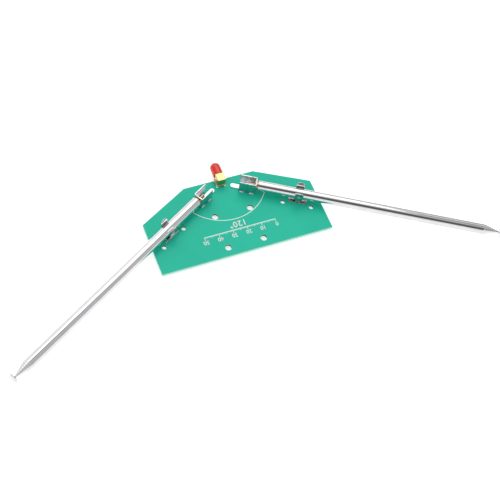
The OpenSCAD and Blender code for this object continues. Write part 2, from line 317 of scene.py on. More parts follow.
def noise(material, place, scale, detail=3.0, rough=0.55):
    made = node(material, "TexNoise", Vector=place, Scale=scale, Detail=detail, Roughness=rough)
    return made.outputs["Fac"]


def spread(material, value, low, high):                # the middle of a noise, stretched over a range
    made = node(material, "MapRange", Value=value, From_Min=0.3, From_Max=0.7, To_Min=low, To_Max=high)
    return made.outputs["Result"]


# mixes two colours, each given as numbers or as a socket
def tint(material, amount, first, second, blend="MIX"):
    made = node(material, "Mix", {"data_type": "RGBA", "blend_type": blend})
    link = material.node_tree.links.new
    link(amount, made.inputs["Factor"])
    for socket, color in zip([s for s in made.inputs if s.type == "RGBA"], (first, second)):
        if isinstance(color, bpy.types.NodeSocket):
            link(color, socket)
        else:
            socket.default_value = (*color, 1)
    return next(out for out in made.outputs if out.type == "RGBA")


def combined(material, operation, first, second):
    made = node(material, "Math", {"operation": operation})
    material.node_tree.links.new(first, made.inputs[0])
    material.node_tree.links.new(second, made.inputs[1])
    return made.outputs["Value"]


def plug(material, value, socket):
    material.node_tree.links.new(value, material.node_tree.nodes["Principled BSDF"].inputs[socket])


def bump(material, height, strength, distance, **under):
    made = node(material, "Bump", Height=height, Strength=strength, Distance=distance, **under)
    plug(material, made.outputs["Normal"], "Normal")
    return made.outputs["Normal"]


def fromScreen(red, green, blue):                      # a screen colour as linear light
    return tuple(((c / 255 + 0.055) / 1.055) ** 2.4 for c in (red, green, blue))


# drawn metal: fine lengthwise lines, smudges and small pits
def drawnMetal(name, color, rough, turn=0.0, stretch=(4, 90, 90), line=0.12, smudge=0.07, wave=0.0):
    material = finish(name, color, 1.0, rough)
    along = grainPlace(material, turn, stretch)
    plain = grainPlace(material)
    lines = noise(material, along, 42, 4)
    patches = noise(material, plain, 160, 3)
    darker = tuple(c * 0.9 for c in color)
    plug(material, tint(material, spread(material, patches, 0, 1), color, darker), "Base Color")
    streaks = spread(material, lines, 0.7, 1.3)
    smears = spread(material, patches, rough, rough + smudge)
    plug(material, combined(material, "MULTIPLY", streaks, smears), "Roughness")
    drawnLines = bump(material, lines, line, 0.004 * mm)
    if wave:                                           # slow waves over the drawn lines
        waves = noise(material, plain, 520, 2, 0.4)
        clouds = noise(material, plain, 900, 3)
        dull = tuple(c * 0.6 for c in color)
        plug(material, tint(material, spread(material, clouds, 0, 1), color, dull), "Base Color")
        bump(material, waves, 0.6, wave, Normal=drawnLines)
    return material


# cast or dipped metal: soft lumps and a varied sheen
def softMetal(name, color, rough, lump=0.35, scale=900, second=None):
    material = finish(name, color, 1.0, rough)
    plain = grainPlace(material)
    lumps = noise(material, plain, scale, 3)
    patches = noise(material, plain, scale / 4, 2)
    other = second or tuple(c * 0.86 for c in color)
    plug(material, tint(material, spread(material, patches, 0, 1), color, other), "Base Color")
    plug(material, spread(material, lumps, rough * 0.7, rough * 1.4), "Roughness")
    bump(material, lumps, lump, 0.02 * mm)
    return material


def boardMask():
    material = finish("greenMask", (0.015, 0.55, 0.38), 0.0, 0.3, Specular_IOR_Level=0.14)
    plain = grainPlace(material)
    threads = [                                        # the glass cloth under the mask
        node(material, "TexWave", {"wave_type": "BANDS", "bands_direction": way}, Vector=plain,
             Scale=260, Distortion=0.6, Detail=1.0).outputs["Fac"]
        for way in ("X", "Y")
    ]
    cloud = noise(material, plain, 38, 3)
    base = tint(material, spread(material, cloud, 0, 1), (0.015, 0.55, 0.38), (0.023, 0.585, 0.405))
    speck = noise(material, plain, 1500, 2)
    deep = tint(material, spread(material, speck, 0.0, 0.35), base, (0.86, 0.93, 0.91), "MULTIPLY")
    plug(material, deep, "Base Color")
    plug(material, spread(material, cloud, 0.26, 0.36), "Roughness")
    bump(material, combined(material, "ADD", *threads), 0.12, 0.006 * mm)
    return material


def laminate(name, light, dark):
    material = finish(name, light, 0.0, 0.6)
    layers = grainPlace(material, 0, (1, 1, 30))
    plies = noise(material, layers, 200, 3)
    plug(material, tint(material, spread(material, plies, 0, 1), light, dark), "Base Color")
    plug(material, spread(material, plies, 0.5, 0.75), "Roughness")
    bump(material, plies, 0.3, 0.03 * mm)
    return material


# painted, moulded or printed: a cloudy colour with a fine grain
def grainy(name, first, second, cloud, grain, rough, height, **sockets):
    light, dark = fromScreen(*first), fromScreen(*second)
    material = finish(name, light, 0.0, rough[0], **sockets)
    plain = grainPlace(material)
    haze = noise(material, plain, *cloud)
    grains = noise(material, plain, *grain) if grain else haze
    plug(material, tint(material, spread(material, haze, 0, 1), light, dark), "Base Color")
    plug(material, spread(material, grains, *rough), "Roughness")
    bump(material, grains, *height)
    return material


greenMask = boardMask()
paleEdge = laminate("paleEdge", fromScreen(180, 226, 208), fromScreen(146, 204, 184))
# painted shade: the hole walls get a dark copy of the edge laminate, standing in for the shade inside the holes
holeWallPaintedShade = laminate("holeWallPaintedShade", fromScreen(74, 96, 82), fromScreen(50, 70, 60))
inkWhite = grainy("whiteInk", (255, 255, 255), (236, 252, 248), (2600, 2), None,
                  (0.42, 0.6), (0.2, 0.008 * mm))
capRed = grainy("redVinyl", (242, 62, 36), (208, 36, 28), (320, 3), (2400, 2),
                (0.24, 0.36), (0.15, 0.01 * mm),
                Specular_IOR_Level=0.45, Coat_Weight=0.3, Coat_Roughness=0.06)
cream = grainy("creamPlastic", (240, 238, 228), (224, 220, 206), (700, 2), None,
               (0.28, 0.42), (0.1, 0.01 * mm))
gold = softMetal("goldPlate", (0.66, 0.5, 0.24), 0.22, 0.1, 700, (0.56, 0.41, 0.18))
solderShine = softMetal("solderShine", (0.72, 0.74, 0.74), 0.16, 0.5, 1100)
padTin = softMetal("padTin", (0.78, 0.8, 0.79), 0.24, 0.5, 800)
chrome, tinSheet, tinInsidePaintedLight, nickel, turnedBrass = {}, {}, {}, {}, {}
for side, sign in sides.items():                       # the drawn lines follow each rod
    turn = sign * rodTilt
    chrome[side] = drawnMetal("chrome." + side, (0.76, 0.75, 0.765), 0.06, turn)
    tinSheet[side] = drawnMetal("tinSheet." + side, (0.74, 0.75, 0.745), 0.1, turn,
                                (9, 60, 60), 0.2, 0.12, 0.34 * mm)
    # painted light: the inner faces of each bracket get a brighter, bluish copy of the tin, standing in for the
    # light reflected inside the U
    tinInsidePaintedLight[side] = softMetal("tinInsidePaintedLight." + side, (0.95, 0.95, 0.98), 0.3, 0.3, 420, (0.74, 0.74, 0.78))
    nickel[side] = drawnMetal("nickel." + side, (0.6, 0.61, 0.6), 0.08, turn, (9, 60, 60), 0.15, 0.08)
    turnedBrass[side] = drawnMetal("turnedBrass." + side, fromScreen(220, 190, 152), 0.2, turn,
                                   (90, 8, 8), 0.2)
bronze = drawnMetal("bronze", fromScreen(196, 142, 96), 0.28)
print("materials ready")


board = {
    "sideDepth": 38.7 * mm,                            # straight part of the left and right edges
    "backHalf": 25 * mm,                               # half of the edge that carries the jack
    "rim": 0.14 * mm,                                  # bare laminate round every edge
    "holes": {"x": 12.5 * mm, "y": 12.25 * mm, "radius": 2.15 * mm},
    "ties": {"at": 53.4 * mm, "apart": 9.7 * mm, "aside": -5 * mm, "radius": 1.5 * mm},
}


def rodPoint(side, along, aside):                      # a point on the board, from a place on a rod
    spot = Matrix.Rotation(-rodTilt, 3, "Z") @ Vector((along, aside, 0))
    return Vector((sides[side] * spot.x, spot.y + crossing, 0))


def makeBoard():
    piece = box("circuitBoard", boardLow, boardHigh)
    sideY = boardLow.y + board["sideDepth"]
    run = Vector((boardHigh.x - board["backHalf"], boardHigh.y - sideY, 0))
    for sign in (1, -1):
        alone(piece)
        editAll()
        bpy.ops.mesh.bisect(plane_co=(sign * boardHigh.x, sideY, 0), plane_no=(sign * run.y, run.x, 0),
                            use_fill=True, clear_outer=True)
        objectMode()
    spots = [(Vector((x * board["holes"]["x"], y * board["holes"]["y"], 0)), board["holes"]["radius"])
             for x in (-1, 1) for y in (-1, 1)]
    for side in sides:
        for end in (-1, 1):
            spot = rodPoint(side, board["ties"]["at"] + end * board["ties"]["apart"], board["ties"]["aside"])
            spots.append((spot, board["ties"]["radius"]))
    past = 1 * mm
    drills = [roundBar("drill", radius, boardLow.z - past, boardHigh.z + past, "Z", spot)
              for spot, radius in spots]
    cut(piece, joined("drills", drills))
    pick(piece, "faces", lambda c, n: abs(n.z) > 0.9)
    bpy.ops.mesh.inset(thickness=board["rim"], depth=0, use_even_offset=True)
    objectMode()
    inner = [f.index for f in piece.data.polygons if f.select]
    piece.data.materials.append(greenMask)
    piece.data.materials.append(paleEdge)
    piece.data.materials.append(holeWallPaintedShade)
    for face in piece.data.polygons:
        inHole = any((face.center - spot).to_2d().length < radius + 0.05 * mm for spot, radius in spots)
        face.material_index = 1
        if face.index in inner:
            face.material_index = 0
        elif inHole:
            # the hole walls take the dark laminate: painted shade
            face.material_index = 2
    modify(piece, "BEVEL", width=0.05 * mm, segments=2, limit_method="ANGLE", angle_limit=math.radians(60))
    alone(piece)
    bpy.ops.object.shade_smooth_by_angle(angle=math.radians(40))
    modify(piece, "WEIGHTED_NORMAL", keep_sharp=True, weight=100)
    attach(piece, "board")
    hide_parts("circuit_board")


makeBoard()
print("board made")


ink = {
    "line": 0.45 * mm,
    "arcRadius": 31.6 * mm,
    "arcFromFront": 56.9 * mm,                         # front edge to the middle of the arc
    "arcGap": 0.2 * mm,                                # the arc stops this far before each rod axis
    "angleFigure": {"at": 21.4 * mm, "size": 6.0 * mm, "weight": 0.1 * mm, "spacing": 1.08},
    "ruler": {
        "at": 17.55 * mm,
        "divisions": 50,
        "step": 1 * mm,
        "ticks": {1: 0.9 * mm, 5: 1.5 * mm, 10: 2.1 * mm},
        "tickLine": 0.3 * mm,
        "lift": 0.0001 * mm,                           # keeps ticks that share a place apart
        "figure": 4.0 * mm,
        "figureGap": 3.9 * mm,
        "weight": 0.07 * mm,
    },
}


def figures(name, words, size, weight, place, spacing=1.0):
    clearAll()
    bpy.ops.object.text_add()
    piece = named(name)
    piece.data.body = words
    piece.data.align_x = "CENTER"
    piece.data.align_y = "CENTER"
    piece.data.size = size
    piece.data.offset = weight
    piece.data.space_character = spacing
    piece.data.resolution_u = 6
    bpy.ops.object.convert(target="MESH")
    piece = bpy.context.object
    piece.matrix_world = placed(place, math.pi)        # read from the jack side
    settle(piece)
    editAll()
    bpy.ops.mesh.dissolve_limited(angle_limit=math.radians(1))
    objectMode()
    return piece


def flatBar(name, width, depth, middle):
    clearAll()
    bpy.ops.mesh.primitive_plane_add(size=1, location=middle)
    piece = named(name)
    piece.scale = (width, depth, 1)
    return settle(piece)


def makeInk():
    inkLow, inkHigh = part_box("printed_scale")
    thick = inkHigh.z - inkLow.z
    z = inkLow.z
    arcMiddle = boardLow.y + ink["arcFromFront"]
    toRods = ink["arcGap"] + (arcMiddle - crossing) * math.cos(rodTilt)
    half = math.pi / 2 - rodTilt - math.asin(toRods / ink["arcRadius"])
    start = Vector((math.sin(half), -math.cos(half), 0))
    line = drawnLine("arc", [(0, 0), (ink["line"], 0)])
    first = Vector((0, arcMiddle, z)) + start * (ink["arcRadius"] - ink["line"] / 2)
    line.matrix_world = placed(first, math.atan2(start.y, start.x))
    settle(line)
    editAll()
    bpy.ops.mesh.spin(steps=96, angle=2 * half, center=(0, arcMiddle, z), axis=(0, 0, 1))
    objectMode()
    ruler = ink["ruler"]
    rulerY = boardLow.y + ruler["at"]
    reach = ruler["divisions"] * ruler["step"]
    parts = [line, flatBar("ruler", reach + ruler["tickLine"], ruler["tickLine"] * 1.4, (0, rulerY, z))]
    for every, length in ruler["ticks"].items():
        width = ruler["tickLine"] * (1 if every < 10 else 1.3)
        tick = flatBar("tick", width, length, (reach / 2, rulerY - length / 2, z + every * ruler["lift"]))
        modify(tick, "ARRAY", count=ruler["divisions"] // every + 1, use_relative_offset=False,
               use_constant_offset=True, constant_offset_displace=(-every * ruler["step"], 0, 0))
        parts.append(tick)
    for value in range(0, ruler["divisions"] + 1, 10):
        spot = (reach / 2 - value * ruler["step"], rulerY - ruler["figureGap"], z)
        parts.append(figures("figure", str(value), ruler["figure"], ruler["weight"], spot))
    angle = ink["angleFigure"]
    spot = (0, boardLow.y + angle["at"], z)
    parts.append(figures("angleFigure", "120°", angle["size"], angle["weight"], spot, angle["spacing"]))
    piece = joined("printedMarks", parts)
    alone(piece)
    editAll()
    bpy.ops.mesh.normals_make_consistent(inside=False)
    objectMode()
    pick(piece, "faces", lambda c, n: n.z < 0)
    bpy.ops.mesh.flip_normals()
    objectMode()
    modify(piece, "SOLIDIFY", thickness=thick, offset=1)
    dress(piece, "board", "white_ink", inkWhite)
    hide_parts("printed_scale")


makeInk()
print("ink made")


jack = {
    "legWidth": 1 * mm,
    "legSpan": 5.08 * mm,
    "barrelRadius": 3.175 * mm,
    "threadDepth": 0.3 * mm,
    "pitch": 0.706 * mm,                               # 36 turns to the inch
    "relief": 0.55 * mm,
    "insulator": 2.05 * mm,
    "mouth": {"radius": 2.3 * mm, "depth": 1.9 * mm},
    "edge": 0.18 * mm,
    "hollow": 0.25 * mm,                               # between the legs
    "flange": {"out": 0.3 * mm, "thick": 0.5 * mm},
}


def makeJack():
    low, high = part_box("jack_body")
    side = high.x - low.x
    bottom = high.z - side
    axisHeight = high.z - side / 2
    back = low.y + side
    middle = low.y + side / 2
    flange = jack["flange"]
    block = box("jackBody", (low.x, low.y, bottom), (high.x, back, high.z))
    editAll()
    bpy.ops.mesh.bisect(plane_co=(0, 0, bottom + flange["thick"]), plane_no=(0, 0, 1))
    objectMode()
    pick(block, "faces", lambda c, n: c.z > bottom + flange["thick"])
    extrude(0, 0, 0)
    narrower = 1 - 2 * flange["out"] / side
    bpy.ops.transform.resize(value=(narrower, narrower, 1), center_override=(0, middle, bottom))
    objectMode()
    pick(block, "faces", lambda c, n: n.z < -0.9 and c.z < bottom + near)
    bpy.ops.mesh.inset(thickness=jack["legWidth"] * 1.25, depth=0)
    extrude(0, 0, jack["hollow"])
    objectMode()
    polish(block, jack["edge"], 3)
    legs = []
    for x in (-1, 1):
        for y in (-1, 1):
            half = jack["legWidth"] / 2
            cx = x * jack["legSpan"] / 2
            cy = middle + y * jack["legSpan"] / 2
            leg = box("leg", (cx - half, cy - half, low.z), (cx + half, cy + half, bottom + 0.3 * mm))
            pick(leg, "faces", lambda c, n: n.z < -0.9)
            bpy.ops.transform.resize(value=(0.7, 0.7, 1))
            objectMode()
            legs.append(polish(leg, 0.12 * mm, 2))
    root = jack["barrelRadius"] - jack["threadDepth"]
    length = high.y - back
    core = turned("barrel", [
        (-0.4 * mm, jack["insulator"]), (-0.4 * mm, root + 0.25 * mm), (0.12 * mm, root + 0.25 * mm),
        (0.3 * mm, root), (length - 0.35 * mm, root), (length, root - 0.25 * mm),
        (length, jack["mouth"]["radius"]), (length - jack["mouth"]["depth"], jack["mouth"]["radius"]),
        (length - jack["mouth"]["depth"], jack["insulator"]),
    ], 72)
    polish(core, 0.06 * mm)
    ridge = threadRidge("jackThread", jack["relief"], length - jack["relief"] - 0.1 * mm,
                        jack["barrelRadius"], jack["threadDepth"], jack["pitch"])
    polish(ridge, 0)
    barrel = joined("barrel", [core, ridge])
    barrel.matrix_world = placed((0, back, axisHeight), math.pi / 2)
    settle(barrel)
    cut(block, roundBar("bore", jack["insulator"], low.y + 1 * mm, back + 1 * mm, "Y", (0, 0, axisHeight)))
    piece = joined("jackBody", [block, barrel] + legs)
    dress(piece, "board", "gold_plate", gold)
    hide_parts("jack_body")


cap = {
    "slack": 0.05 * mm,                                # between the thread and the bore
    "deep": 8 * mm,                                    # depth of the bore
    "dome": 3.6 * mm,
    "lip": 0.12 * mm,
}


def makeCap():
    low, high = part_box("dust_cap")
    radius = (high.x - low.x) / 2
    length = high.y - low.y
    bore = jack["barrelRadius"] + cap["slack"]
    deep, dome, lip = cap["deep"], cap["dome"], cap["lip"]
    points = [
        (deep, 0), (deep, bore * 0.8), (deep - 0.5 * mm, bore), (0, bore),
        (0, radius - lip), (lip, radius), (0.5 * mm, radius), (length - dome - 1 * mm, radius),
    ]
    for step in range(10):
        angle = math.radians(step * 10)
        points.append((length - dome + dome * math.sin(angle), radius - dome + dome * math.cos(angle)))
    points.append((length, 0))
    piece = turned("dustCap", points, 72)
    piece.matrix_world = placed((0, low.y, (low.z + high.z) / 2), math.pi / 2)
    settle(piece)
    cleanShell(piece)
    polish(piece, 0.1 * mm, 3, 50, 50)
    dress(piece, "dust_cap", "red_vinyl", capRed)
    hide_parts("dust_cap")


makeJack()
makeCap()
print("jack and cap made")


bracket = {
    "start": 12.9 * mm,
    "length": 11.3 * mm,
    "width": 7 * mm,
    "height": 10.2 * mm,
    "sheet": 0.7 * mm,
    "bend": 0.95 * mm,
    "tongue": {"start": 7 * mm, "width": 3.2 * mm},
    "legs": [2.2 * mm, 8.9 * mm],
    "legWidth": 1.4 * mm,
    "foot": 1.2 * mm,                                  # half of each foot
    "step": 0.5 * mm,                                  # under the wall between the feet
    "studHole": 1.35 * mm,                             # tapped for the stud
}


def makeBracket():
    end = bracket["start"] + bracket["length"]
    half = bracket["width"] / 2
    top = boardDrop + bracket["height"]
    piece = box("bracket", (bracket["start"], -half, boardDrop), (end, half, top))
    pick(piece, "faces", lambda c, n: abs(n.z) > 0.9 or n.x < -0.9)
    bpy.ops.mesh.delete(type="FACE")
    cuts = [((bracket["start"] + at + edge * bracket[width] * scale, 0, 0), (1, 0, 0))
            for at in bracket["legs"] for edge in (-1, 1) for width, scale in (("legWidth", 0.5), ("foot", 1))
            if bracket["start"] + at + edge * bracket[width] * scale < end]
    cuts.append(((0, 0, boardDrop + bracket["step"]), (0, 0, 1)))
    for sign in (-1, 1):
        cuts.append(((0, sign * bracket["tongue"]["width"] / 2, 0), (0, 1, 0)))
    for spot, facing in cuts:
        bpy.ops.mesh.select_all(action="SELECT")
        bpy.ops.mesh.bisect(plane_co=spot, plane_no=facing)
    objectMode()
    firstFoot = bracket["start"] + bracket["legs"][0] + bracket["foot"]
    lastFoot = bracket["start"] + bracket["legs"][1] - bracket["foot"]
    pick(piece, "faces", lambda c, n: abs(n.y) > 0.9 and c.z < boardDrop + bracket["step"]
         and firstFoot < c.x < lastFoot)
    bpy.ops.mesh.delete(type="FACE")
    objectMode()

    def legEdge(a, b):
        mid = (a + b) / 2
        low = max(a.z, b.z) < boardDrop + near
        return low and abs(mid.y) > half - near and any(
            abs(mid.x - bracket["start"] - at) < bracket["legWidth"] * 0.4 for at in bracket["legs"])

    def onEndWall(a, b):
        return abs(a.x - end) < near and abs(b.x - end) < near

    pick(piece, "edges", legEdge)
    extrude(0, 0, floorHeight - boardTop)
    objectMode()
    # the tongue runs out from the foot of the end wall
    pick(piece, "edges", lambda a, b: max(a.z, b.z) < boardDrop + near and onEndWall(a, b)
         and abs((a + b).y) < near)
    tongueEnd = bracket["tongue"]["start"]
    extrude(tongueEnd - end, 0, 0)
    objectMode()
    pick(piece, "points", lambda c: c.x < tongueEnd + near)
    bpy.ops.mesh.bevel(offset=bracket["tongue"]["width"] / 2 - 0.02 * mm, segments=8, affect="VERTICES")
    objectMode()
    pick(piece, "edges", lambda a, b: onEndWall(a, b) and abs(a.y - b.y) < near
         and abs(abs(a.y) - half) < near)
    bpy.ops.mesh.bevel(offset=bracket["bend"], segments=5, affect="EDGES")
    objectMode()
    cleanShell(piece)
    outward = sum(f.area for f in piece.data.polygons if f.normal.x > 0.9)
    if not outward:                                    # the sheet gets its thickness inwards
        alone(piece)
        editAll()
        bpy.ops.mesh.flip_normals()
        objectMode()
    piece.data.materials.append(tinSheet["right"])
    # the second slot, for the inner shell, is the brighter copy of the tin: painted light
    piece.data.materials.append(tinInsidePaintedLight["right"])
    modify(piece, "SOLIDIFY", thickness=bracket["sheet"], offset=-1, use_even_offset=True, material_offset=1)
    cut(piece, roundBar("studHole", bracket["studHole"], end - 2 * mm, end + 1 * mm, "X"))
    return piece


def placeBrackets():
    model = makeBracket()
    for side in sides:
        piece = ontoRod(copied(model, side + "Bracket"), side)
        polish(piece, 0.15 * mm, 3, 40)
        inner = [face.index for face in piece.data.polygons if face.material_index == 1]
        dress(piece, "board", "tinned_sheet", tinSheet[side], tinInsidePaintedLight[side])
        for index in inner:
            piece.data.polygons[index].material_index = 1
        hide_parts(side + "_bracket")
    bpy.data.objects.remove(model)


placeBrackets()
print("brackets made")


rodEnd = {
    "stud": {"radius": 1.5 * mm, "length": 5.8 * mm, "pitch": 0.5 * mm, "depth": 0.25 * mm},
    "neck": {"radius": 2.75 * mm, "length": 1.2 * mm},
    "plug": {"length": 7 * mm, "slack": 0.29 * mm},
}


def makeBasePlug():
    stud, neck = rodEnd["stud"], rodEnd["neck"]
    wallOut = bracket["start"] + bracket["length"]
    tip = wallOut - stud["length"]
    core = stud["radius"] - stud["depth"]
    inTube = tubeRadius - rodEnd["plug"]["slack"]
    neckEnd = wallOut + neck["length"]
    plugEnd = tubeStart + rodEnd["plug"]["length"]
    body = turned("plug", [
        (tip, 0), (tip, core - 0.25 * mm), (tip + 0.25 * mm, core), (wallOut, core),
        (wallOut + 0.01 * mm, neck["radius"] - 0.15 * mm), (wallOut + 0.16 * mm, neck["radius"]),
        (neckEnd - 0.15 * mm, neck["radius"]), (neckEnd, neck["radius"] - 0.15 * mm),
        (neckEnd + 0.02 * mm, inTube),
        (plugEnd - 0.3 * mm, inTube), (plugEnd, inTube - 0.3 * mm), (plugEnd, 0),
    ], 64)
    polish(body, 0.03 * mm)
    ridge = threadRidge("studThread", tip + 0.05 * mm, stud["length"] - 0.1 * mm,
                        stud["radius"], stud["depth"], stud["pitch"], 40)
    polish(ridge, 0)
    return joined("basePlug", [body, ridge])


def placeRodEnds():
    model = makeBasePlug()
    for side in sides:
        piece = ontoRod(copied(model, side + "BasePlug"), side)
        polish(piece, 0)
        dress(piece, "board", "turned_brass", turnedBrass[side])
        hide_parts(side + "_base_plug")
    bpy.data.objects.remove(model)


placeRodEnds()
print("rod ends made")


clip = {
    "at": 53.4 * mm,
    "armWidth": 5.6 * mm,
    "armHeight": 11.9 * mm,                            # above the board
    "neck": {"width": 3.4 * mm, "height": 1.8 * mm},
    "sheet": 0.4 * mm,
    "grip": 3.51 * mm,
    "hug": 16,                                         # degrees of the tube above and below its middle
    "lip": [(3.74 * mm, 2.1 * mm), (3.98 * mm, 3.5 * mm), (4.32 * mm, 4.8 * mm), (4.72 * mm, 5.86 * mm)],
    "corner": 2.4 * mm,
    "base": {"length": 11.4 * mm, "width": 6.6 * mm, "lift": 0.06 * mm},
    "tab": {"height": 2 * mm, "width": 5 * mm},
    "legs": {"at": 2.2 * mm, "width": 1.6 * mm},
    "dimple": {"radius": 0.85 * mm, "stretch": 1.3, "height": 0.3 * mm},
}


def clipArms(low):                                     # both arms, bent from one strip and rounded off
    sheet = clip["sheet"]
    edge = clip["base"]["width"] / 2
    hug = clip["grip"] + sheet / 2
    arm = [(edge - 0.9 * mm, low + sheet / 2), (edge - 0.32 * mm, low + sheet / 2 + 0.1 * mm),
           (edge - 0.2 * mm, low + 0.7 * mm)]
    for step in range(9):
        angle = math.radians(clip["hug"] * (step / 4 - 1))
        arm.append((hug * math.cos(angle), hug * math.sin(angle)))
    arm += clip["lip"]
    arms = drawnLine("arms", [(-y, z) for y, z in reversed(arm)] + arm)
    arms.matrix_world = placed((-clip["armWidth"] / 2, 0, 0), math.pi / 2)
    settle(arms)
    editAll()
    extrude(clip["armWidth"], 0, 0)
    objectMode()
    cleanShell(arms)
    modify(arms, "SOLIDIFY", thickness=sheet, offset=0, use_even_offset=True)
    reach, deep = clip["armWidth"] / 2, 6 * mm
    discLow, discHigh = low + clip["neck"]["height"], boardDrop + clip["armHeight"]
    outline = box("outline", (-reach, -deep, discLow), (reach, deep, discHigh))
    pick(outline, "edges", lambda a, b: abs(a.x - b.x) < near and abs(a.z - b.z) < near)
    bpy.ops.mesh.bevel(offset=clip["corner"], segments=12, affect="EDGES")
    objectMode()
    neck = clip["neck"]["width"] / 2
    stem = box("neck", (-neck, -deep * 1.1, low - 1 * mm), (neck, deep * 1.1, discLow + clip["corner"]))
    cut(outline, stem, "UNION")
    return cut(arms, outline, "INTERSECT")


def clipBase(low):                                     # flat base with a turned-up tab at each end
    sheet = clip["sheet"]
    halfLength, halfWidth = clip["base"]["length"] / 2, clip["base"]["width"] / 2
    halfTab = clip["tab"]["width"] / 2
    base = box("base", (-halfLength, -halfWidth, low), (halfLength, halfWidth, low + sheet))
    bpy.ops.object.mode_set(mode="EDIT")
    for spot, facing in (((sheet - halfLength, 0, 0), (1, 0, 0)), ((halfLength - sheet, 0, 0), (1, 0, 0)),
                         ((0, -halfTab, 0), (0, 1, 0)), ((0, halfTab, 0), (0, 1, 0))):
        bpy.ops.mesh.select_all(action="SELECT")
        bpy.ops.mesh.bisect(plane_co=spot, plane_no=facing)
    objectMode()
    pick(base, "faces", lambda c, n: n.z > 0.9 and abs(c.x) > halfLength - sheet and abs(c.y) < halfTab)
    extrude(0, 0, clip["tab"]["height"] - sheet)
    objectMode()
    pick(base, "edges", lambda a, b: min(a.z, b.z) > low + clip["tab"]["height"] - near
         and abs(a.y - b.y) < near)
    bpy.ops.mesh.bevel(offset=0.8 * mm, segments=4, affect="EDGES")
    objectMode()
    pick(base, "edges", lambda a, b: abs(abs(a.z - b.z) - sheet) < sheet * 0.1
         and abs(abs(a.x) - halfLength) < near and abs(abs(a.y) - halfWidth) < near)
    bpy.ops.mesh.bevel(offset=0.7 * mm, segments=4, affect="EDGES")
    objectMode()
    return base


def makeClip():
    sheet = clip["sheet"]
    low = boardDrop + clip["base"]["lift"]
    parts = [clipArms(low), clipBase(low)]
    dimple = clip["dimple"]
    for sign in (-1, 1):
        mid = sign * clip["legs"]["at"]
        half = clip["legs"]["width"] / 2
        parts.append(box("leg", (mid - half, -sheet / 2, floorHeight - rodHeight),
                         (mid + half, sheet / 2, low + sheet / 2)))
        clearAll()
        bpy.ops.mesh.primitive_uv_sphere_add(segments=24, ring_count=12, radius=dimple["radius"])
        ball = named("dimple")
        ball.scale = (dimple["stretch"], dimple["height"] / dimple["radius"], 1)
        ball.location = (0, sign * (clip["grip"] + sheet), 0)
        parts.append(settle(ball))
    piece = joined("clip", parts)
    piece.location.x = clip["at"]
    return settle(piece)


def placeClips():
    model = makeClip()
    for side in sides:
        piece = ontoRod(copied(model, side + "Clip"), side)
        polish(piece, 0.06 * mm, 2, 50)
        dress(piece, "board", "nickel_spring", nickel[side])
        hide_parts(side + "_clip")
    bpy.data.objects.remove(model)


placeClips()
print("clips made")


rod = {
    "wall": 0.28 * mm,
    "mouth": 2 * mm,                                   # length of the necked end
    "slide": 0.05 * mm,                                # clearance round the next section
    "rim": 0.22 * mm,                                  # wall at the mouth
    "tipSocket": 1.2 * mm,
    "sections": range(2, 8),
}


def tubeLine(start, end, radius, nextRadius):
    mouthIn = nextRadius + rod["slide"]
    mouthOut = mouthIn + rod["rim"]
    neck = end - rod["mouth"]
    soft = 0.35 * mm
    narrowed = end - rod["mouth"] / 3
    return [
        (start, radius - rod["wall"]), (start, radius - 0.1 * mm), (start + 0.1 * mm, radius),
        (start + 0.4 * mm, radius), (neck - 0.6 * mm, radius), (neck, radius),
        (neck + soft, radius - (radius - mouthOut) * 0.12),
        (narrowed - soft / 2, mouthOut + (radius - mouthOut) * 0.14), (narrowed + 0.1 * mm, mouthOut),
        (end - 0.07 * mm, mouthOut), (end, mouthOut - 0.07 * mm), (end, mouthIn + 0.04 * mm),
        (end - 0.06 * mm, mouthIn), (neck + 0.2 * mm, mouthIn), (neck, radius - rod["wall"]),
    ]


def solidLine(start, end, radius):
    return [(start, 0), (start, radius - 0.1 * mm), (start + 0.1 * mm, radius),
            (end - 0.05 * mm, radius), (end, radius - 0.05 * mm), (end, 0)]


def makeTubes():
    spans = {1: (tubeStart, tubeEnd, tubeRadius)}
    for i in rod["sections"]:
        spans[i] = rodSpan(f"right_section_{i}")
    for i, (start, end, radius) in spans.items():
        if i + 1 in spans:
            model = turned("tube", tubeLine(start, end, radius, spans[i + 1][2]), 72)
        else:
            model = turned("tube", solidLine(start, end, radius), 64)
        for side in sides:
            section = f"{side}_section_{i}"
            piece = ontoRod(copied(model, side + ("OuterTube" if i == 1 else f"Section{i}")), side)
            polish(piece, 0)
            if i == 1:
                dress(piece, "board", "chromed_tube", chrome[side])
                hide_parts(side + "_outer_tube")
            else:
                dress(piece, section, "chromed_section", chrome[side])
                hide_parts(section)
        bpy.data.objects.remove(model)
    return spans


tip = {
    "length": 2.4 * mm,
    "collar": {"radius": 1.5 * mm, "length": 0.7 * mm},
    "edge": 0.25 * mm,
}


def makeTips(spans):
    low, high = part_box("right_tip_button")
    radius = (high.z - low.z) / 2
    start = spans[rod["sections"][-1]][1] - rod["tipSocket"]
    end = start + tip["length"]
    collar = tip["collar"]
    faceAt = start + collar["length"]
    model = turned("tip", [
        (start, 0), (start, collar["radius"] - 0.1 * mm), (start + 0.1 * mm, collar["radius"]),
        (faceAt - 0.15 * mm, collar["radius"]), (faceAt, collar["radius"] + 0.15 * mm),
        (faceAt + 0.02 * mm, radius - tip["edge"]), (faceAt + 0.1 * mm, radius - 0.08 * mm),
        (faceAt + 0.28 * mm, radius), (faceAt + 0.5 * mm, radius - 0.04 * mm),
        (faceAt + 0.8 * mm, radius - 0.32 * mm), (faceAt + 1.02 * mm, radius - 0.75 * mm),
        (end - 0.32 * mm, radius * 0.62), (end - 0.1 * mm, radius * 0.36),
        (end - 0.02 * mm, radius * 0.15), (end, 0),
    ], 72)
    for side in sides:
        piece = ontoRod(copied(model, side + "TipButton"), side)
        polish(piece, 0, smooth=50)
        dress(piece, side + "_section_7", "chromed_button", chrome[side])
        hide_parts(side + "_tip_button")
    bpy.data.objects.remove(model)


makeTips(makeTubes())
print("rods made")


